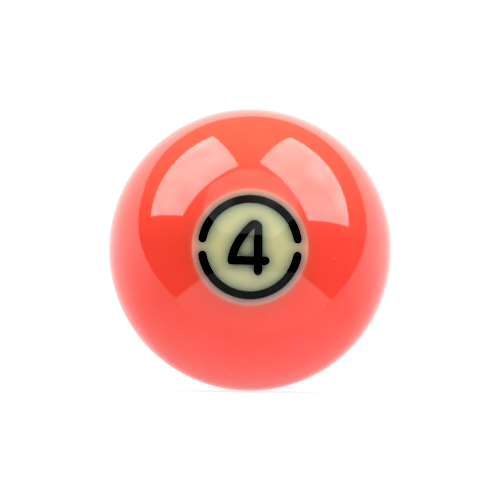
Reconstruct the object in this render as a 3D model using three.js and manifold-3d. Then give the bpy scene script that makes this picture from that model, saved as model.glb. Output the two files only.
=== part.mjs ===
// A numbered pool ball: nine solids of cast phenolic resin, bonded into one polished sphere.
//
// The coral body has a flat-bottomed round pocket at each end of the number axis. Each pocket holds a
// cream number disc, and each disc holds three black inlays: the numeral 4 and the two halves of a
// broken ring. Every outer face lies on the same sphere.
//
// Frame: millimetres, +Z up, origin at the ball's centre. The number axis is Y, the front number faces
// -Y and both numbers read upright.

import * as THREE from "three";
import { mergeVertices } from "three/addons/utils/BufferGeometryUtils.js";
import Module from "manifold-3d";

const wasm = await Module();
wasm.setup();

// Driving dimensions, in millimetres and degrees.
const BALL_DIAMETER = 57.15; // 2 1/4 in
const DISC_DIAMETER = 22.8;
const DISC_DEPTH = 6.5; // from the ball's surface at the number's centre to the disc's flat back
const INLAY_DEPTH = 3.6; // from the same point to the flat back of the black inlays
const RING_DIAMETER = 18.85; // at the middle of the ring's stroke
const RING_GAP = 19.5; // degrees between the centres of two facing round ends
const STROKE_WIDTH = 1.56;
const BOND_GAP = 0.05; // the bond line between two castings, on each shared wall and floor

// The path of the round-tipped pen that draws the numeral, about the number's centre.
const NUMERAL = {
  stemX: 1.6,
  footY: -4.75,
  apexY: 3.76, // the centre of the round apex
  apexRadius: 0.75,
  apexTurn: 134, // degrees from the stem round to the diagonal
  diagonalPull: 4.6, // from the end of the apex straight on to the diagonal's control point
  barLeft: -3.6,
  barRight: 3.05,
  barY: -2.65,
};

// Facets.
const TURN_STEPS = 96; // round the number axis
const BODY_STEPS = 36; // from pocket to pocket, an even number so that a vertex lies on the equator
const CAP_STEPS = 6; // from a disc's rim to its centre
const RING_STEPS = 28; // along each half of the ring
const END_STEPS = 6; // round each stroke end
const CURVE_STEPS = 6; // along each curve of the numeral

const ballRadius = BALL_DIAMETER / 2;
const discRadius = DISC_DIAMETER / 2;
const strokeRadius = STROKE_WIDTH / 2;
const ringRadius = RING_DIAMETER / 2;
const radians = THREE.MathUtils.degToRad;

// Cast resin of one colour, polished to a gloss.
function resin(name, color) {
  return new THREE.MeshStandardMaterial({ name, color, roughness: 0.08, metalness: 0 });
}

const coral = resin("coral_resin", 0xf5452f);
const cream = resin("cream_resin", 0xc8c28c);
const black = resin("black_resin", 0x0a0a0b);

// Points along an arc in the plane, both ends included. Angles are in radians.
function arc(centreX, centreY, radius, from, to, steps) {
  return Array.from({ length: steps + 1 }, (_, i) => {
    const angle = from + ((to - from) * i) / steps;
    return new THREE.Vector2(centreX + radius * Math.cos(angle), centreY + radius * Math.sin(angle));
  });
}

// A closed three.js geometry as a solid that can be joined and cut.
function solidOf(geometry) {
  const bare = geometry.clone();
  bare.deleteAttribute("normal");
  bare.deleteAttribute("uv");
  const merged = mergeVertices(bare);
  const vertProperties = merged.attributes.position.array;
  const triVerts = new Uint32Array(merged.index.array);
  return new wasm.Manifold(new wasm.Mesh({ numProp: 3, vertProperties, triVerts }));
}

// The three.js geometry of a joined or cut solid.
function geometryOf(solid) {
  const { vertProperties, triVerts } = solid.getMesh();
  const geometry = new THREE.BufferGeometry();
  geometry.setAttribute("position", new THREE.BufferAttribute(vertProperties, 3));
  geometry.setIndex(new THREE.BufferAttribute(triVerts, 1));
  geometry.computeVertexNormals();
  return geometry;
}

// Latitude, in radians, at which the ball's surface is this far from the number axis.
function rimLatitude(radius) {
  return Math.acos(radius / ballRadius);
}

// The coral body, turned about the number axis: a sphere with a pocket at each pole.
function bodyGeometry() {
  const pocketRadius = discRadius + BOND_GAP;
  const floor = ballRadius - DISC_DEPTH - BOND_GAP;
  const rim = rimLatitude(pocketRadius);
  const profile = [
    new THREE.Vector2(0, -floor),
    new THREE.Vector2(pocketRadius, -floor),
    ...arc(0, 0, ballRadius, -rim, rim, BODY_STEPS),
    new THREE.Vector2(pocketRadius, floor),
    new THREE.Vector2(0, floor),
  ];
  return new THREE.LatheGeometry(profile, TURN_STEPS);
}

// Everything below is modelled in an insert's own frame: +Z out of the ball along the number axis, +Y up
// the number, origin at the ball's centre.

// The number disc before its recesses are cut: a round plug with a flat back and a domed face.
function discBlank() {
  const profile = [
    new THREE.Vector2(0, ballRadius - DISC_DEPTH),
    new THREE.Vector2(discRadius, ballRadius - DISC_DEPTH),
    ...arc(0, 0, ballRadius, rimLatitude(discRadius), Math.PI / 2, CAP_STEPS),
  ];
  return solidOf(new THREE.LatheGeometry(profile, TURN_STEPS).rotateX(Math.PI / 2));
}

// A straight prism with this outline, from an inlay's flat back to just outside the ball. A positive
// clearance sinks the back deeper.
function prism(outline, clearance) {
  const back = ballRadius - INLAY_DEPTH - clearance;
  const depth = ballRadius + 1 - back;
  const settings = { depth, bevelEnabled: false, steps: 1 };
  return solidOf(new THREE.ExtrudeGeometry(new THREE.Shape(outline), settings).translate(0, 0, back));
}

// The prism that the round tip sweeps from one point to the next.
function penStep(start, end, clearance) {
  const radius = strokeRadius + clearance;
  const heading = Math.atan2(end.y - start.y, end.x - start.x);
  const quarter = Math.PI / 2;
  const outline = [
    ...arc(end.x, end.y, radius, heading - quarter, heading + quarter, END_STEPS),
    ...arc(start.x, start.y, radius, heading + quarter, heading + 3 * quarter, END_STEPS),
  ];
  return prism(outline, clearance);
}

// The numeral 4, drawn in one stroke: up the stem, over the apex, down the diagonal and along the bar.
function numeralPrism(clearance) {
  const { stemX, footY, apexY, apexRadius, apexTurn, diagonalPull, barLeft, barRight, barY } = NUMERAL;
  const turn = radians(apexTurn);
  const apexX = stemX - apexRadius;
  const pullX = apexX + apexRadius * Math.cos(turn) - diagonalPull * Math.sin(turn);
  const pullY = apexY + apexRadius * Math.sin(turn) + diagonalPull * Math.cos(turn);
  const path = new THREE.Path()
    .moveTo(stemX, footY)
    .lineTo(stemX, apexY)
    .absarc(apexX, apexY, apexRadius, 0, turn, false)
    .quadraticCurveTo(pullX, pullY, barLeft, barY)
    .lineTo(barRight, barY);
  const points = path.getPoints(CURVE_STEPS);
  const steps = points.slice(1).map((point, i) => penStep(points[i], point, clearance));
  return steps.reduce((joined, step) => joined.add(step));
}

// One half of the broken ring, with round ends, starting at this angle.
function ringArcPrism(startAngle, clearance) {
  const from = radians(startAngle + RING_GAP / 2);
  const to = radians(startAngle + 180 - RING_GAP / 2);
  const radius = strokeRadius + clearance;
  const endCap = (angle, capStart) => {
    const x = ringRadius * Math.cos(angle);
    const y = ringRadius * Math.sin(angle);
    // The cap's first and last points are already on the two long arcs.
    return arc(x, y, radius, capStart, capStart + Math.PI, END_STEPS).slice(1, -1);
  };
  const outline = [
    ...arc(0, 0, ringRadius + radius, from, to, RING_STEPS),
    ...endCap(to, to),
    ...arc(0, 0, ringRadius - radius, to, from, RING_STEPS),
    ...endCap(from, from + Math.PI),
  ];
  return prism(outline, clearance);
}

// The inlays of one number, each as a function of the clearance round it.
const inlays = {
  numeral_four: numeralPrism,
  upper_ring_arc: (clearance) => ringArcPrism(0, clearance),
  lower_ring_arc: (clearance) => ringArcPrism(180, clearance),
};

function namedMesh(name, geometry, material) {
  const mesh = new THREE.Mesh(geometry, material);
  mesh.name = name;
  return mesh;
}

// One number: the disc and its inlays. Recesses and inlays are cut from the same blank, so that every
// outer face is flush.
function numberInsert(side) {
  const blank = discBlank();
  const group = new THREE.Group();
  let disc = blank;
  for (const [name, shape] of Object.entries(inlays)) {
    group.add(namedMesh(`${side}_${name}`, geometryOf(blank.intersect(shape(0))), black));
    disc = disc.subtract(shape(BOND_GAP));
  }
  group.add(namedMesh(`${side}_number_disc`, geometryOf(disc), cream));
  group.rotation.x = Math.PI / 2; // turns +Z out of the ball to -Y, and +Y up the number to +Z
  return group;
}

const ball = new THREE.Group();
ball.add(namedMesh("coloured_body", bodyGeometry(), coral));
ball.add(numberInsert("front"));

const rear = new THREE.Group();
rear.rotation.z = Math.PI;
rear.add(numberInsert("rear"));
ball.add(rear);

export default ball;
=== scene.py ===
"""The looks of the numbered pool ball: nine polished resin castings, flush on one sphere.

Frame: metres, +Z up, origin at the ball's centre. The front number faces -Y. The castings are built on
the sizes of the CAD nodes that they replace, finely enough for clean reflections.
"""

import math

import bpy
import numpy as np
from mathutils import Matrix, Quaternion, Vector
from mathutils.geometry import delaunay_2d_cdt


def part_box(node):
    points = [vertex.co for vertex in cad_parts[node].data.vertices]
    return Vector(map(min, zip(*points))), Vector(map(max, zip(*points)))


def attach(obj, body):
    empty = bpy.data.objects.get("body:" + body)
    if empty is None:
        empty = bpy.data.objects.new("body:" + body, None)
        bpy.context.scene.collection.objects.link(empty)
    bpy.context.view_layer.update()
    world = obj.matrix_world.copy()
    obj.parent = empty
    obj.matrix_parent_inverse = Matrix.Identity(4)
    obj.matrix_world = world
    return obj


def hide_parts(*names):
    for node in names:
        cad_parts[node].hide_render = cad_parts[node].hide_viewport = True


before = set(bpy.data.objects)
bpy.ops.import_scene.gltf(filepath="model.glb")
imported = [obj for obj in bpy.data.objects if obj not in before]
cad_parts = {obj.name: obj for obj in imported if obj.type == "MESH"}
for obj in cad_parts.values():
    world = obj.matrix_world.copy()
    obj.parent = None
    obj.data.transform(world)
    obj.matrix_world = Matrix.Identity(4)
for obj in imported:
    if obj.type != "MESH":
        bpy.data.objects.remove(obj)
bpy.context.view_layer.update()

MM = 0.001

# Facets.
RIM_STEPS = 288  # round the number axis
BODY_STEPS = 128  # along the body, from rim to rim
RING_STEPS = 90  # along each half of the ring
END_STEPS = 16  # round each stroke end
CURVE_STEPS = 32  # along each curve of the numeral
FACE_STEP = 0.27 * MM  # between the points inside a number's face
RIM_CLEARANCE = 0.6 * FACE_STEP  # the least from those points to the disc's rim
INLAY_CLEARANCE = 0.5 * FACE_STEP  # the least from those points to an inlay's outline
SAME_POINT = 1e-9  # points nearer to each other than this, in metres, are one
DOME_ROWS = 9  # of vertices, from a dome's lower edge to its upper one
DOME_COLUMNS = 181  # of vertices, once round
FLOOR_STEPS = 64  # round its edge

# The pen path of the numeral, as shares of the pen's travel box: across, then up.
STEM_ACROSS = 0.782
BAR_UP = 0.227
APEX_RADIUS = 0.113  # of the box's width
APEX_TURN = math.radians(134)
DIAGONAL_PULL = 0.69  # of the box's width, from the end of the apex to the curve's control point

# The camera, on the ball's front. Its elevation and roll are in degrees and its lens in millimetres.
CAMERA_DISTANCE = 0.8
CAMERA_ELEVATION = -1.2
CAMERA_ROLL = 0.7
CAMERA_LENS = 285

# The lights. A direction is an azimuth and an elevation, in degrees, as seen from the ball: azimuth 0 is
# towards the camera and 90 to the camera's right.
PANELS = {  # the radiance that each has in reflections, the radiance of the light it casts, its corners
    "left_softbox": (5.4, (2.95, 2.95, 2.95), ((-141, 61.5), (-23, 69), (-60, 22.5), (-93, 18))),
    "right_softbox": (5.3, (3.35, 3.35, 3.35), ((141, 61.5), (18.5, 72.5), (50, 21), (89, 14))),
    "front_panel": (
        1.35,
        (0.45, 0.45, 0.45),
        ((-21, 65), (13, 66), (38, 55), (47, 38), (41, 25), (20, 9), (-21, 11), (-42, 28), (-46, 47)),
    ),
    "overhead": (0, (6.4, 8.8, 2.4), ((45, 66.5), (135, 66.5), (-135, 66.5), (-45, 66.5))),
    "back_fill": (0, (0.8, 0.8, 0.8), ((120, -1), (-120, -1), (-120, 50), (120, 50))),
}
PANEL_DISTANCE = 1.2
PANEL_UNEVENNESS = 0.16  # how far its glow strays either way, as a share
PATCH_SIZE = 0.35  # of that unevenness
SWEEP_TURN = 4  # the azimuth that the sweep faces
SWEEP_TILT = 1  # how many degrees its right side is raised and its left side lowered
SWEEP_EDGE = (  # the elevation of its upper edge at each azimuth from there, alike on both sides
    (0, -18.3),
    (36, -17.2),
    (44, -21.5),
    (52, -25),
    (66, -29.7),
    (78, -32),
    (86, -20),
    (100, 0),
    (112, 16),
    (121, 26),
    (135, 33),
    (155, 39),
    (180, 43),
)
SWEEP_RADIANCE = 1.35  # from the ball's height up
SWEEP_SHADE = (  # how much of that it has from its foot, at 0, to the ball's height, at 1
    (0, 0.74),
    (0.1, 0.78),
    (0.3, 0.64),
    (0.55, 0.54),
    (1, 1),
)
SWEEP_UNEVENNESS = 0.04
SWEEP_DISTANCE = 1.6
TABLE_EDGE = ((0, -72), (55, -62), (70, -50), (78, -32))  # where the table meets its front, likewise
TABLE_FRONT_RADIANCE = 1.17
TABLE_RADIANCE = 0.93
TABLE_DISTANCE = 1.55
FLOOR_RADIUS = 1.5
FLOOR_PAINTED_GLOW = (0.03, 0.5, 0.75, 1.0)  # two distances from the ball's centre, and the glow that the camera sees there, less near the ball as painted shade round it
FLOOR_CAST = (0.015, 0.06, 0.88, 0.6)  # the same for the glow that lights the ball
FLOOR_TONES = ((0.26, 0.26, 0.26, 1), (0.30, 0.30, 0.30, 1))
FLOOR_GRAIN_SIZE = 20 * MM
FLOOR_ROUGHNESS = 0.9
ROOM_RADIANCE = 0.28  # high up
ROOM_FADE = (0.1, 0.7)  # the sines of the elevations at which that glow begins and is full
BACKDROP_RADIANCE = 1.1  # the room as the camera sees it
BLACK_LEVEL = 0.05  # what the camera records as black
WHITE = (1, 1, 1, 1)

# The resin. Colours are linear.
RESIN_IOR = 1.56
RESIN_ROUGHNESS = 0.05
CORAL = (0.95, 0.100, 0.090)
CORAL_FLOW = (0.97, 0.150, 0.110, 1)
CREAM = (0.60, 0.55, 0.335)
CREAM_CLOUDS = (0.62, 0.57, 0.36, 1)
BLACK = (0.002, 0.002, 0.002, 1)
BLACK_CLOUDS = (0.006, 0.006, 0.006, 1)
FLOW_SIZE = 14 * MM
MOST_FLOW = 0.06  # the share of the flow's colour where it shows most
CLOUD_SIZE = 3 * MM
MOST_CLOUD = 0.08
BLACK_CLOUD_SIZE = 0.8 * MM
CORAL_REACH = 3.6 * MM  # how far painted light and shade from the cream disc reach into the coral resin round it
CORAL_PAINTED_SPREAD_FROM_RIM = (  # the colour at each share of that reach
    (0, (0.72, 0.180, 0.150)),
    (0.08, (0.80, 0.130, 0.110)),
    (0.22, (0.85, 0.110, 0.096)),
    (0.5, (0.90, 0.102, 0.091)),
    (1, CORAL),
)
CREAM_REACH = 2.4 * MM  # how far painted light from the coral resin reaches into the edge of the cream disc
CREAM_PAINTED_SPREAD_FROM_RIM = (  # the colour at each share of that reach
    (0, (0.90, 0.29, 0.25)),
    (0.1, (0.85, 0.33, 0.285)),
    (0.21, (0.80, 0.36, 0.30)),
    (0.36, (0.76, 0.39, 0.31)),
    (0.5, (0.70, 0.40, 0.30)),
    (1, CREAM),
)
LIGHT_REACH = 0.7 * MM  # how far light spreads sideways in the cream resin before it fades to a third
MOST_BLOCKED = 0.5  # the share of that light that a black inlay takes at a straight edge
PAINTED_SHADE_FROM_BLACK = (  # the painted shade that this gives the colour, at each share of MOST_BLOCKED
    (0.06, (1, 1, 1)),
    (0.2, (0.79, 0.82, 0.89)),
    (0.36, (0.64, 0.69, 0.80)),
    (0.6, (0.43, 0.51, 0.66)),
    (0.9, (0.21, 0.25, 0.38)),
)

# Noise lies round 0.5. A pair of levels is where its effect begins and where that is full.
NOISE_LEVELS = (0.35, 0.65)  # what it nearly always lies between

# Marks on the gloss.
SMEAR_SIZE = 9 * MM
SMEAR_LEVELS = (0.45, 0.75)
SMEAR_ROUGHNESS = 0.05
SCRATCH_SIZE = 4 * MM
SCRATCH_LEVELS = (0.66, 0.74)
SCRATCH_TURN = (0.5, 0.3, 0.2)
SCRATCH_STRETCH = (1, 16, 1)
SCRATCH_ROUGHNESS = 0.05
RIPPLE_SIZE = 2.5 * MM
RIPPLE_DEPTH = 0.004 * MM
RIPPLE_STRENGTH = 0.15
DUST = (0.95, 0.80, 0.75, 1)
DUST_SPACING = 1.8 * MM
DUST_RADIUS = 0.11 * MM
DUST_SHARE = 0.25  # of the places where a speck could lie
DUST_ROUGHNESS = 0.4
DUST_HEIGHT = 3  # in depths of the ripple
DUST_COVER = 0.5  # how much a speck hides the resin under it
DUST_COVER_ON_BLACK = 0.12


# ---------------------------------------------------------------------------------------------------
# Sizes of the CAD nodes


def ring_radii():
    """Inner and outer radius of the ring, from the CAD node of its upper half."""
    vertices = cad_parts["front_upper_ring_arc"].data.vertices
    radii = [math.hypot(vertex.co.x, vertex.co.z) for vertex in vertices]
    return min(radii), max(radii)


body_low, body_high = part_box("coloured_body")
disc_low, disc_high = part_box("front_number_disc")
numeral_low, numeral_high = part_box("front_numeral_four")
arc_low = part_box("front_upper_ring_arc")[0]
ring_inner, ring_outer = ring_radii()

BALL_RADIUS = (body_high.x - body_low.x) / 2
DISC_RADIUS = (disc_high.x - disc_low.x) / 2
DISC_BACK = -disc_high.y  # from the ball's centre
INLAY_BACK = -numeral_high.y
PEN_RADIUS = (ring_outer - ring_inner) / 2
RING_RADIUS = (ring_outer + ring_inner) / 2
RING_END = math.asin((arc_low.z + PEN_RADIUS) / RING_RADIUS)  # angle of an end above the horizontal


# ---------------------------------------------------------------------------------------------------
# Paths and outlines, in a number's plane: x to the right and y up, as the number reads


def arc(centre, radius, start, end, steps):
    """Points along an arc, both ends included. Angles are in radians."""
    angles = np.linspace(start, end, steps + 1)
    return np.asarray(centre) + radius * np.column_stack((np.cos(angles), np.sin(angles)))


def quadratic(start, pull, end, steps):
    """Points along a quadratic curve, both ends included."""
    t = np.linspace(0, 1, steps + 1)[:, None]
    return (1 - t) ** 2 * start + 2 * t * (1 - t) * pull + t**2 * end


def beside(path, distance):
    """The path moved to its left by this distance, or to its right if the distance is negative."""
    along = np.gradient(path, axis=0)
    along /= np.linalg.norm(along, axis=1)[:, None]
    return path + distance * np.column_stack((-along[:, 1], along[:, 0]))


def ring_path(turn):
    """Middle line of one half of the broken ring: the upper half, turned by this angle."""
    return arc((0, 0), RING_RADIUS, turn + RING_END, turn + math.pi - RING_END, RING_STEPS)


def ring_outline(turn):
    """Outline of one half of the broken ring, with its round ends."""
    start = turn + RING_END
    end = turn + math.pi - RING_END
    path = ring_path(turn)
    return np.vstack((
        beside(path, -PEN_RADIUS),
        arc(path[-1], PEN_RADIUS, end, end + math.pi, END_STEPS)[1:-1],
        beside(path, PEN_RADIUS)[::-1],
        arc(path[0], PEN_RADIUS, start + math.pi, start + 2 * math.pi, END_STEPS)[1:-1],
    ))


class Numeral:
    """The 4, drawn by a round pen: up the stem, over the apex, down the diagonal and along the bar."""

    def __init__(self):
        low = np.array((numeral_low.x, numeral_low.z)) + PEN_RADIUS
        high = np.array((numeral_high.x, numeral_high.z)) - PEN_RADIUS
        width, height = high - low
        stem_x = low[0] + STEM_ACROSS * width
        bar_y = low[1] + BAR_UP * height
        radius = APEX_RADIUS * width
        self.foot = np.array((stem_x, low[1]))
        self.bar_left = np.array((low[0], bar_y))
        self.bar_right = np.array((high[0], bar_y))
        apex = arc((stem_x - radius, high[1] - radius), radius, 0, APEX_TURN, CURVE_STEPS)
        heading = np.array((-math.sin(APEX_TURN), math.cos(APEX_TURN)))
        pull = apex[-1] + DIAGONAL_PULL * width * heading
        diagonal = quadratic(apex[-1], pull, self.bar_left, CURVE_STEPS)
        self.over = np.vstack((apex, diagonal[1:]))

    def path(self):
        """The pen's path."""
        return np.vstack((self.foot, self.over, self.bar_right))

    def outer_outline(self):
        """The outline round the whole numeral, from the stem's foot round by the right."""
        outside = beside(self.over, -PEN_RADIUS)
        corner = outside[-1] - self.bar_left
        corner_angle = math.atan2(corner[1], corner[0])
        return np.vstack((
            arc(self.foot, PEN_RADIUS, math.pi, 2 * math.pi, END_STEPS),
            (self.foot[0] + PEN_RADIUS, self.bar_right[1] - PEN_RADIUS),
            arc(self.bar_right, PEN_RADIUS, -math.pi / 2, math.pi / 2, END_STEPS),
            (self.foot[0] + PEN_RADIUS, self.bar_right[1] + PEN_RADIUS),
            outside,
            arc(self.bar_left, PEN_RADIUS, corner_angle, 1.5 * math.pi, END_STEPS)[1:],
            (self.foot[0] - PEN_RADIUS, self.bar_left[1] - PEN_RADIUS),
        ))

    def counter_outline(self):
        """The outline of the hole that the diagonal, the stem and the bar enclose."""
        right = self.foot[0] - PEN_RADIUS
        bottom = self.bar_left[1] + PEN_RADIUS
        inside = beside(self.over, PEN_RADIUS)
        gap = inside[(inside[:, 0] < right) & (inside[:, 1] > bottom)]
        top = gap[0] + (gap[0] - gap[1]) * (right - gap[0, 0]) / (gap[0, 0] - gap[1, 0])
        left = gap[-1] + (gap[-1] - gap[-2]) * (bottom - gap[-1, 1]) / (gap[-1, 1] - gap[-2, 1])
        return np.vstack((top, gap, left, (right, bottom)))


def distance_to_path(points, path):
    """Distance from each point to the nearest point of the path."""
    nearest = np.full(len(points), np.inf)
    for start, end in zip(path[:-1], path[1:]):
        span = end - start
        share = np.clip((points - start) @ span / (span @ span), 0, 1)
        nearest = np.minimum(nearest, np.linalg.norm(points - start - share[:, None] * span, axis=1))
    return nearest


# ---------------------------------------------------------------------------------------------------
# The triangles that a number's castings share


def face_grid():
    """Points of a triangular grid inside the disc, clear of its rim."""
    rows = int(DISC_RADIUS / (FACE_STEP * math.sqrt(0.75))) + 1
    columns = int(DISC_RADIUS / FACE_STEP) + 1
    points = np.array([
        ((column + row % 2 / 2) * FACE_STEP, row * FACE_STEP * math.sqrt(0.75))
        for row in range(-rows, rows + 1)
        for column in range(-columns, columns + 1)
    ])
    return points[np.linalg.norm(points, axis=1) < DISC_RADIUS - RIM_CLEARANCE]


def loop_edges(first, count):
    """The edges of a closed outline whose points are numbered from first."""
    return [(first + i, first + (i + 1) % count) for i in range(count)]


def stepped(outline):
    """The closed outline with its long edges divided into steps of the grid's size."""
    pieces = []
    for start, end in zip(outline, np.roll(outline, -1, axis=0)):
        steps = max(1, round(float(np.linalg.norm(end - start)) / FACE_STEP))
        pieces.append(start + (end - start) * (np.arange(steps) / steps)[:, None])
    return np.vstack(pieces)


class Face:
    """The triangles of a number's face, with an edge along every outline, and what each belongs to."""

    def __init__(self):
        numeral = Numeral()
        self.paths = {
            "numeral_four": numeral.path(),
            "upper_ring_arc": ring_path(0),
            "lower_ring_arc": ring_path(math.pi),
        }
        outlines = [
            arc((0, 0), DISC_RADIUS, 0, 2 * math.pi, RIM_STEPS)[:-1],
            stepped(numeral.outer_outline()),
            stepped(numeral.counter_outline()),
            ring_outline(0),
            ring_outline(math.pi),
        ]
        grid = face_grid()
        clear = np.abs(self.distance_to_black(grid)) > INLAY_CLEARANCE
        edges = []
        count = 0
        for outline in outlines:
            edges += loop_edges(count, len(outline))
            count += len(outline)
        given = [Vector(point) for point in np.vstack([*outlines, grid[clear]])]
        made = delaunay_2d_cdt(given, edges, [], 0, SAME_POINT)  # 0 keeps all the triangles of the hull
        self.points = np.array(made[0])
        self.triangles = np.array(made[2])
        middles = self.points[self.triangles].mean(axis=1)
        self.part_of = np.full(len(self.triangles), "number_disc", dtype=object)
        for part, path in self.paths.items():
            self.part_of[distance_to_path(middles, path) < PEN_RADIUS] = part

    def distance_to_black(self, points):
        """Distance from each point to the nearest black outline, negative inside it."""
        to_paths = [distance_to_path(points, path) for path in self.paths.values()]
        return np.min(to_paths, axis=0) - PEN_RADIUS

    def part(self, name):
        """The triangles of one casting's outer face."""
        return self.triangles[self.part_of == name]

    def blocked_light(self):
        """The share of the light spreading inside the disc to each point that the inlays block."""
        corners = self.points[self.triangles[self.part_of != "number_disc"]]
        sides = corners[:, 1:] - corners[:, :1]
        areas = np.abs(sides[:, 0, 0] * sides[:, 1, 1] - sides[:, 0, 1] * sides[:, 1, 0]) / 2
        share = np.zeros(len(self.points))
        for middle, area in zip(corners.mean(axis=1), areas):
            away = np.linalg.norm(self.points - middle, axis=1)
            share += area * np.exp(-away / LIGHT_REACH) / (2 * math.pi * LIGHT_REACH**2)
        return share


def rim_edges(triangles):
    """The directed edges round a set of triangles, which lie on their left."""
    sides = {(int(t[i]), int(t[(i + 1) % 3])) for t in triangles for i in range(3)}
    return [(a, b) for a, b in sides if (b, a) not in sides]


# ---------------------------------------------------------------------------------------------------
# Meshes


def finish_piece(name, slot, vertices, faces, on_ball):
    """A mesh object that stands for the CAD node of this name. Faces on the ball get its true normals."""
    mesh = bpy.data.meshes.new(name)
    mesh.from_pydata(vertices.tolist(), [], faces)
    mesh.shade_smooth()
    normals = np.empty((len(mesh.loops), 3))
    for polygon, round_face in zip(mesh.polygons, on_ball):
        corners = list(polygon.loop_indices)
        if round_face:
            outward = vertices[list(polygon.vertices)]
            normals[corners] = outward / np.linalg.norm(outward, axis=1)[:, None]
        else:
            normals[corners] = polygon.normal
    mesh.normals_split_custom_set(normals.tolist())
    mesh.materials.append(resins[slot])
    piece = bpy.data.objects.new(name + "_casting", mesh)
    bpy.context.scene.collection.objects.link(piece)
    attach(piece, "root")
    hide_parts(name)
    return piece


def store(piece, name, values):
    """Keeps one value for each vertex, for the material to read."""
    attribute = piece.data.attributes.new(name, "FLOAT", "POINT")
    attribute.data.foreach_set("value", np.asarray(values, np.float32))


def build_body():
    """The coloured body, turned about the number axis, with a flat-bottomed pocket at each end."""
    rim = math.asin(DISC_RADIUS / BALL_RADIUS)
    angles = np.linspace(rim, math.pi - rim, BODY_STEPS + 1)
    radii = np.concatenate(([DISC_RADIUS], BALL_RADIUS * np.sin(angles), [DISC_RADIUS]))
    heights = np.concatenate(([-DISC_BACK], -BALL_RADIUS * np.cos(angles), [DISC_BACK]))
    turn = 2 * math.pi * np.arange(RIM_STEPS) / RIM_STEPS
    rows = [
        np.column_stack((radius * np.cos(turn), np.full(RIM_STEPS, height), radius * np.sin(turn)))
        for radius, height in zip(radii, heights)
    ]
    vertices = np.vstack((*rows, (0, -DISC_BACK, 0), (0, DISC_BACK, 0)))
    front, rear = len(vertices) - 2, len(vertices) - 1
    last = (len(rows) - 1) * RIM_STEPS
    faces = []
    on_ball = []
    for row in range(len(rows) - 1):
        for i in range(RIM_STEPS):
            here = row * RIM_STEPS
            after = (i + 1) % RIM_STEPS
            faces.append((here + after, here + i, here + RIM_STEPS + i, here + RIM_STEPS + after))
            on_ball.append(0 < row < len(rows) - 2)
    for i in range(RIM_STEPS):
        after = (i + 1) % RIM_STEPS
        faces += [(front, i, after), (rear, last + after, last + i)]
        on_ball += [False, False]
    piece = finish_piece("coloured_body", "coral_resin", vertices, faces, on_ball)
    # for the painted light and shade beside the cream disc
    off_axis = np.arcsin(np.clip(np.hypot(vertices[:, 0], vertices[:, 2]) / BALL_RADIUS, 0, 1))
    store(piece, "from_rim", BALL_RADIUS * (off_axis - rim) / CORAL_REACH)


def placed(face, side, back):
    """The face's points on the ball, then on the flat back at this distance from the centre."""
    across, up = face.points.T
    outward = np.sqrt(BALL_RADIUS**2 - across**2 - up**2)
    turn = 1 if side == "front" else -1
    levels = [outward, np.full(len(across), back)]
    return [np.column_stack((turn * across, -turn * level, up)) for level in levels]


def used_only(vertices, faces):
    """The vertices that the faces use, the faces renumbered to them, and their old numbers."""
    kept = sorted({index for corners in faces for index in corners})
    renumbered = {old: new for new, old in enumerate(kept)}
    faces = [tuple(renumbered[index] for index in corners) for corners in faces]
    return vertices[kept], faces, kept


def wall(edges, upper, lower):
    """Quads from edges at one level down to a deeper one. The levels are the first vertex of each."""
    return [(b + upper, a + upper, a + lower, b + lower) for a, b in edges]


def build_inlay(face, side, part):
    """A black casting: its face on the ball, a flat back and straight walls."""
    count = len(face.points)
    top = face.part(part)
    faces = [tuple(t) for t in top.tolist()]
    faces += [tuple(t) for t in (top[:, ::-1] + count).tolist()]
    faces += wall(rim_edges(top), 0, count)
    on_ball = [i < len(top) for i in range(len(faces))]
    vertices, faces, _ = used_only(np.vstack(placed(face, side, INLAY_BACK)), faces)
    finish_piece(f"{side}_{part}", "black_resin", vertices, faces, on_ball)


def build_disc(face, side):
    """The cream casting: its face on the ball, a recess for each inlay, and a flat back."""
    count = len(face.points)
    top = face.part("number_disc")
    floors = face.triangles[face.part_of != "number_disc"]
    outside = rim_edges(face.triangles)
    recess_rims = set(rim_edges(top)) - set(outside)
    faces = [tuple(t) for t in top.tolist()]
    faces += [tuple(t) for t in (floors + count).tolist()]
    faces += [tuple(t) for t in (face.triangles[:, ::-1] + 2 * count).tolist()]
    faces += wall(recess_rims, 0, count)
    faces += wall(outside, 0, 2 * count)
    on_ball = [i < len(top) for i in range(len(faces))]
    levels = [*placed(face, side, INLAY_BACK), placed(face, side, DISC_BACK)[1]]
    vertices, faces, kept = used_only(np.vstack(levels), faces)
    piece = finish_piece(f"{side}_number_disc", "cream_resin", vertices, faces, on_ball)
    # for the painted coral light along the disc's rim
    from_rim = (DISC_RADIUS - np.linalg.norm(face.points, axis=1)) / CREAM_REACH
    store(piece, "from_rim", np.tile(from_rim, 3)[kept])
    # for the painted shade near the inlays
    store(piece, "blocked", np.tile(face.blocked_light() / MOST_BLOCKED, 3)[kept])


# ---------------------------------------------------------------------------------------------------
# Materials


def node(tree, kind, inputs, **settings):
    """A node with these settings. Each input is a value, or the output of another node to link to."""
    made = tree.nodes.new(kind)
    for name, value in settings.items():
        setattr(made, name, value)
    for socket, value in inputs.items():
        if isinstance(value, bpy.types.NodeSocket):
            tree.links.new(value, made.inputs[socket])
        else:
            made.inputs[socket].default_value = value
    return made


def combined(tree, operation, first, second):
    """The result of this operation on two values."""
    return node(tree, "ShaderNodeMath", {0: first, 1: second}, operation=operation).outputs[0]


def spread(tree, value, low, high, to_low, to_high):
    """The value, with its range from low to high spread over another range and held at its ends."""
    inputs = {"Value": value, "From Min": low, "From Max": high, "To Min": to_low, "To Max": to_high}
    return node(tree, "ShaderNodeMapRange", inputs).outputs[0]


def grain(tree, place, size, detail):
    """Noise round 0.5 whose features are about this size."""
    inputs = {"Vector": place, "Scale": 1 / size, "Detail": detail}
    return node(tree, "ShaderNodeTexNoise", inputs).outputs[0]


def drift(tree, place, size, detail, low, high):
    """A value that drifts between low and high, over patches of about this size."""
    return spread(tree, grain(tree, place, size, detail), *NOISE_LEVELS, low, high)


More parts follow.
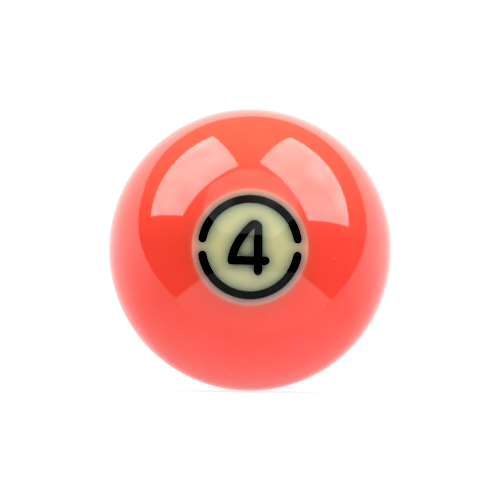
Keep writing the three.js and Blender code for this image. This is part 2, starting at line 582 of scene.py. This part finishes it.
def specks(tree, place, spacing, radius, share):
    """1 on round specks of this radius, one in this share of the cells, and 0 elsewhere."""
    cells = node(tree, "ShaderNodeTexVoronoi", {"Vector": place, "Scale": 1 / spacing})
    near = spread(tree, cells.outputs["Distance"], radius / spacing, radius / spacing / 2, 0, 1)
    draw = node(tree, "ShaderNodeSeparateColor", {0: cells.outputs["Color"]}).outputs[0]
    return combined(tree, "MULTIPLY", near, combined(tree, "LESS_THAN", draw, share))


def ramp(tree, value, stops):
    """A colour for each value. Each stop is a value and its colour."""
    made = node(tree, "ShaderNodeValToRGB", {0: value})
    elements = made.color_ramp.elements  # two of them, to begin with
    for position, _ in stops[2:]:
        elements.new(position)
    for element, (position, colour) in zip(elements, stops):
        element.position = position
        element.color = (*colour, 1)
    return made.outputs[0]


def graded(tree, name, stops):
    """A colour for each value kept on the mesh under this name."""
    return ramp(tree, node(tree, "ShaderNodeAttribute", {}, attribute_name=name).outputs["Fac"], stops)


def mixed(tree, amount, colour, other, blend="MIX"):
    """The colour blended with another by this amount."""
    # By number, because the node has a set of sockets of the same names for each kind of value.
    inputs = {0: amount, 6: colour, 7: other}
    return node(tree, "ShaderNodeMix", inputs, data_type="RGBA", blend_type=blend).outputs[2]


def new_resin(name):
    """A material with the gloss that all the castings share. Returns it with its node tree, the place on
    the ball and where dust lies."""
    material = bpy.data.materials.new(name)
    material.use_nodes = True
    tree = material.node_tree
    shader = tree.nodes["Principled BSDF"]
    shader.inputs["IOR"].default_value = RESIN_IOR
    place = node(tree, "ShaderNodeTexCoord", {}).outputs["Object"]

    smears = spread(tree, grain(tree, place, SMEAR_SIZE, 4), *SMEAR_LEVELS, 0, SMEAR_ROUGHNESS)
    mapping = {"Vector": place, "Rotation": SCRATCH_TURN, "Scale": SCRATCH_STRETCH}
    drawn = node(tree, "ShaderNodeMapping", mapping).outputs[0]
    scratches = spread(tree, grain(tree, drawn, SCRATCH_SIZE, 6), *SCRATCH_LEVELS, 0, SCRATCH_ROUGHNESS)
    dust = specks(tree, place, DUST_SPACING, DUST_RADIUS, DUST_SHARE)
    marks = combined(tree, "ADD", combined(tree, "ADD", smears, scratches), RESIN_ROUGHNESS)
    rough = combined(tree, "ADD", marks, combined(tree, "MULTIPLY", dust, DUST_ROUGHNESS))
    tree.links.new(rough, shader.inputs["Roughness"])

    ripple = grain(tree, place, RIPPLE_SIZE, 1)
    height = combined(tree, "ADD", ripple, combined(tree, "MULTIPLY", dust, DUST_HEIGHT))
    bump = {"Strength": RIPPLE_STRENGTH, "Distance": RIPPLE_DEPTH, "Height": height}
    tree.links.new(node(tree, "ShaderNodeBump", bump).outputs[0], shader.inputs["Normal"])
    return material, tree, place, dust


def colour_resin(tree, colour, dust, amount):
    """Sets the resin's colour, with dust on it."""
    covered = mixed(tree, combined(tree, "MULTIPLY", dust, amount), colour, DUST)
    tree.links.new(covered, tree.nodes["Principled BSDF"].inputs["Base Color"])


def coral_resin():
    """The coloured resin: almost even, with faint flow marks, and painted duller beside the number disc,
    as light and shade passing between it and the cream resin would make it.
    """
    material, tree, place, dust = new_resin("polished_coral")
    flow = drift(tree, place, FLOW_SIZE, 3, 0, MOST_FLOW)
    # painted light and shade: the coral duller and paler beside the cream disc
    coral = mixed(tree, flow, graded(tree, "from_rim", CORAL_PAINTED_SPREAD_FROM_RIM), CORAL_FLOW)
    colour_resin(tree, coral, dust, DUST_COVER)
    return material


def cream_resin():
    """The number disc's resin: translucent, with its light and shade painted into its colour: painted
    shade near the black inlays and painted coral light along its rim.
    """
    material, tree, place, dust = new_resin("polished_cream")
    # painted light: the coral resin's light, spreading into the edge of the cream disc
    edge = graded(tree, "from_rim", CREAM_PAINTED_SPREAD_FROM_RIM)
    # painted shade: the cream darkened near the black inlays, which block the light spreading inside the
    # resin
    shaded = mixed(tree, 1.0, edge, graded(tree, "blocked", PAINTED_SHADE_FROM_BLACK), "MULTIPLY")
    clouds = drift(tree, place, CLOUD_SIZE, 3, 0, MOST_CLOUD)
    colour_resin(tree, mixed(tree, clouds, shaded, CREAM_CLOUDS), dust, DUST_COVER)
    return material


def black_resin():
    """The inlays' resin: opaque black, where only the gloss and the dust show."""
    material, tree, place, dust = new_resin("polished_black")
    black = mixed(tree, grain(tree, place, BLACK_CLOUD_SIZE, 2), BLACK, BLACK_CLOUDS)
    colour_resin(tree, black, dust, DUST_COVER_ON_BLACK)
    return material


# ---------------------------------------------------------------------------------------------------
# The studio


def direction(azimuth, elevation):
    """The unit vector from the ball in this direction, given in degrees."""
    azimuth, elevation = math.radians(azimuth), math.radians(elevation)
    level = math.cos(elevation)
    return Vector((math.sin(azimuth) * level, -math.cos(azimuth) * level, math.sin(elevation)))


def glow(name, radiance, unevenness, shade=()):
    """A material that glows with this radiance of red, green and blue, a little unevenly. The shade, if
    any, is the share of it at some heights, from 0 at the sweep's foot to 1 at the ball."""
    material = bpy.data.materials.new(name)
    material.use_nodes = True
    tree = material.node_tree
    tree.nodes.remove(tree.nodes["Principled BSDF"])
    place = node(tree, "ShaderNodeTexCoord", {}).outputs["Object"]
    strength = drift(tree, place, PATCH_SIZE, 2, 1 - unevenness, 1 + unevenness)
    if shade:
        height = node(tree, "ShaderNodeSeparateXYZ", {0: place}).outputs["Z"]
        greys = [(position, (share,) * 3) for position, share in shade]
        shading = ramp(tree, spread(tree, height, -SWEEP_DISTANCE, 0, 0, 1), greys)
        strength = combined(tree, "MULTIPLY", strength, shading)
    emission = node(tree, "ShaderNodeEmission", {"Color": (*radiance, 1), "Strength": strength})
    tree.links.new(emission.outputs[0], tree.nodes["Material Output"].inputs["Surface"])
    return material


def to_camera(tree, seen, otherwise):
    """One value for what the camera sees directly, and the other for reflections and cast light."""
    direct = node(tree, "ShaderNodeLightPath", {}).outputs["Is Camera Ray"]
    return spread(tree, direct, 0, 1, otherwise, seen)


def add_stage(name, vertices, faces, material):
    """A surface of the studio."""
    mesh = bpy.data.meshes.new(name)
    mesh.from_pydata(vertices, [], faces)
    mesh.materials.append(material)
    surface = bpy.data.objects.new(name, mesh)
    bpy.context.scene.collection.objects.link(surface)
    return surface


def add_light(name, vertices, faces, material, reflected):
    """A glowing surface that either shows in reflections or casts light. The camera doesn't see it."""
    surface = add_stage(name, vertices, faces, material)
    surface.visible_camera = False
    surface.visible_shadow = False
    surface.visible_glossy = reflected
    surface.visible_diffuse = not reflected


def add_panel(name, reflection, cast, corners):
    """A flat glowing panel whose corners lie in these directions."""
    towards = [direction(*corner) for corner in corners]
    facing = sum(towards, Vector()).normalized()
    vertices = [way * (PANEL_DISTANCE / way.dot(facing)) for way in towards]
    faces = [tuple(range(len(vertices)))]
    add_light(name, vertices, faces, glow(name, cast, 0), False)
    if reflection:
        shown = glow(name + "_reflection", (reflection,) * 3, PANEL_UNEVENNESS)
        add_light(name + "_reflection", vertices, faces, shown, True)


def add_dome(name, material, distance, azimuths, lower, upper):
    """A part of a sphere round the ball, between two elevations at each azimuth, for reflections."""
    vertices = [
        direction(azimuth, low + (high - low) * row / (DOME_ROWS - 1)) * distance
        for azimuth, low, high in zip(azimuths, lower, upper)
        for row in range(DOME_ROWS)
    ]
    faces = [
        (first, first + 1, first + DOME_ROWS + 1, first + DOME_ROWS)
        for column in range(len(azimuths) - 1)
        for first in range(column * DOME_ROWS, (column + 1) * DOME_ROWS - 1)
    ]
    material.cycles.emission_sampling = "NONE"
    add_light(name, vertices, faces, material, True)


def add_sweep():
    """The white sweep that the ball reflects, and the table on it, whose front is a little brighter."""
    away = np.linspace(-180, 180, DOME_COLUMNS)
    edge = np.interp(np.abs(away), *zip(*SWEEP_EDGE)) + SWEEP_TILT * np.sin(np.radians(away))
    nadir = np.full(len(away), -90)
    sweep = glow("sweep", (SWEEP_RADIANCE,) * 3, SWEEP_UNEVENNESS, SWEEP_SHADE)
    add_dome("sweep", sweep, SWEEP_DISTANCE, away + SWEEP_TURN, nadir, edge)
    near = np.abs(away) <= TABLE_EDGE[-1][0]
    azimuths = away[near] + SWEEP_TURN
    middle = np.interp(np.abs(away[near]), *zip(*TABLE_EDGE))
    table = glow("table", (TABLE_RADIANCE,) * 3, SWEEP_UNEVENNESS)
    add_dome("table", table, TABLE_DISTANCE, azimuths, nadir[near], middle)
    front = glow("table_front", (TABLE_FRONT_RADIANCE,) * 3, SWEEP_UNEVENNESS)
    add_dome("table_front", front, TABLE_DISTANCE, azimuths, middle, edge[near])


def add_floor():
    """The pale floor that the ball rests on. It is left out of reflections, where the sweep stands in. The
    camera sees it glow less near the ball, which is painted shade round it.
    """
    material = bpy.data.materials.new("floor")
    material.use_nodes = True
    tree = material.node_tree
    place = node(tree, "ShaderNodeTexCoord", {}).outputs["Object"]
    tone = mixed(tree, grain(tree, place, FLOOR_GRAIN_SIZE, 3), *FLOOR_TONES)
    shader = tree.nodes["Principled BSDF"]
    tree.links.new(tone, shader.inputs["Base Color"])
    shader.inputs["Roughness"].default_value = FLOOR_ROUGHNESS
    shader.inputs["Emission Color"].default_value = WHITE
    distance = node(tree, "ShaderNodeVectorMath", {0: place}, operation="LENGTH").outputs["Value"]
    # painted shade: the floor's glow, as the camera sees it, dimmer round the ball
    look = spread(tree, distance, *FLOOR_PAINTED_GLOW)
    cast = spread(tree, distance, *FLOOR_CAST)
    tree.links.new(to_camera(tree, look, cast), shader.inputs["Emission Strength"])
    turn = np.linspace(0, 2 * math.pi, FLOOR_STEPS, endpoint=False)
    edge = [(FLOOR_RADIUS * math.cos(a), FLOOR_RADIUS * math.sin(a), body_low.z) for a in turn]
    add_stage("floor", edge, [tuple(range(len(edge)))], material).visible_glossy = False


def add_room():
    """The dim room round the lights: lighter high up, black below, and plain white to the camera."""
    world = bpy.data.worlds.new("room")
    world.use_nodes = True
    tree = world.node_tree
    way = node(tree, "ShaderNodeTexCoord", {}).outputs["Generated"]
    height = node(tree, "ShaderNodeSeparateXYZ", {0: way}).outputs["Z"]
    dim = spread(tree, height, *ROOM_FADE, 0, ROOM_RADIANCE)
    background = tree.nodes["Background"]
    tree.links.new(to_camera(tree, BACKDROP_RADIANCE, dim), background.inputs["Strength"])
    background.inputs["Color"].default_value = WHITE
    bpy.context.scene.world = world


def add_camera():
    """The camera, a little below the ball's centre and rolled a little."""
    data = bpy.data.cameras.new("camera")
    data.lens = CAMERA_LENS
    camera = bpy.data.objects.new("camera", data)
    away = direction(0, CAMERA_ELEVATION)
    camera.location = away * CAMERA_DISTANCE
    camera.rotation_mode = "QUATERNION"
    roll = Quaternion((0, 0, 1), math.radians(CAMERA_ROLL))
    camera.rotation_quaternion = away.to_track_quat("Z", "Y") @ roll
    bpy.context.scene.collection.objects.link(camera)
    bpy.context.scene.camera = camera


def set_tones():
    """Plain colour, with the deepest tones recorded as black."""
    settings = bpy.context.scene.view_settings
    settings.view_transform = "Standard"
    settings.use_curve_mapping = True
    settings.curve_mapping.black_level = (BLACK_LEVEL,) * 3
    settings.curve_mapping.update()


# ---------------------------------------------------------------------------------------------------
# The scene

resins = {"coral_resin": coral_resin(), "cream_resin": cream_resin(), "black_resin": black_resin()}
face = Face()
build_body()
for side in ("front", "rear"):
    build_disc(face, side)
    for part in face.paths:
        build_inlay(face, side, part)

for name, (reflection, cast, corners) in PANELS.items():
    add_panel(name, reflection, cast, corners)
add_sweep()
add_floor()
add_room()
add_camera()
set_tones()
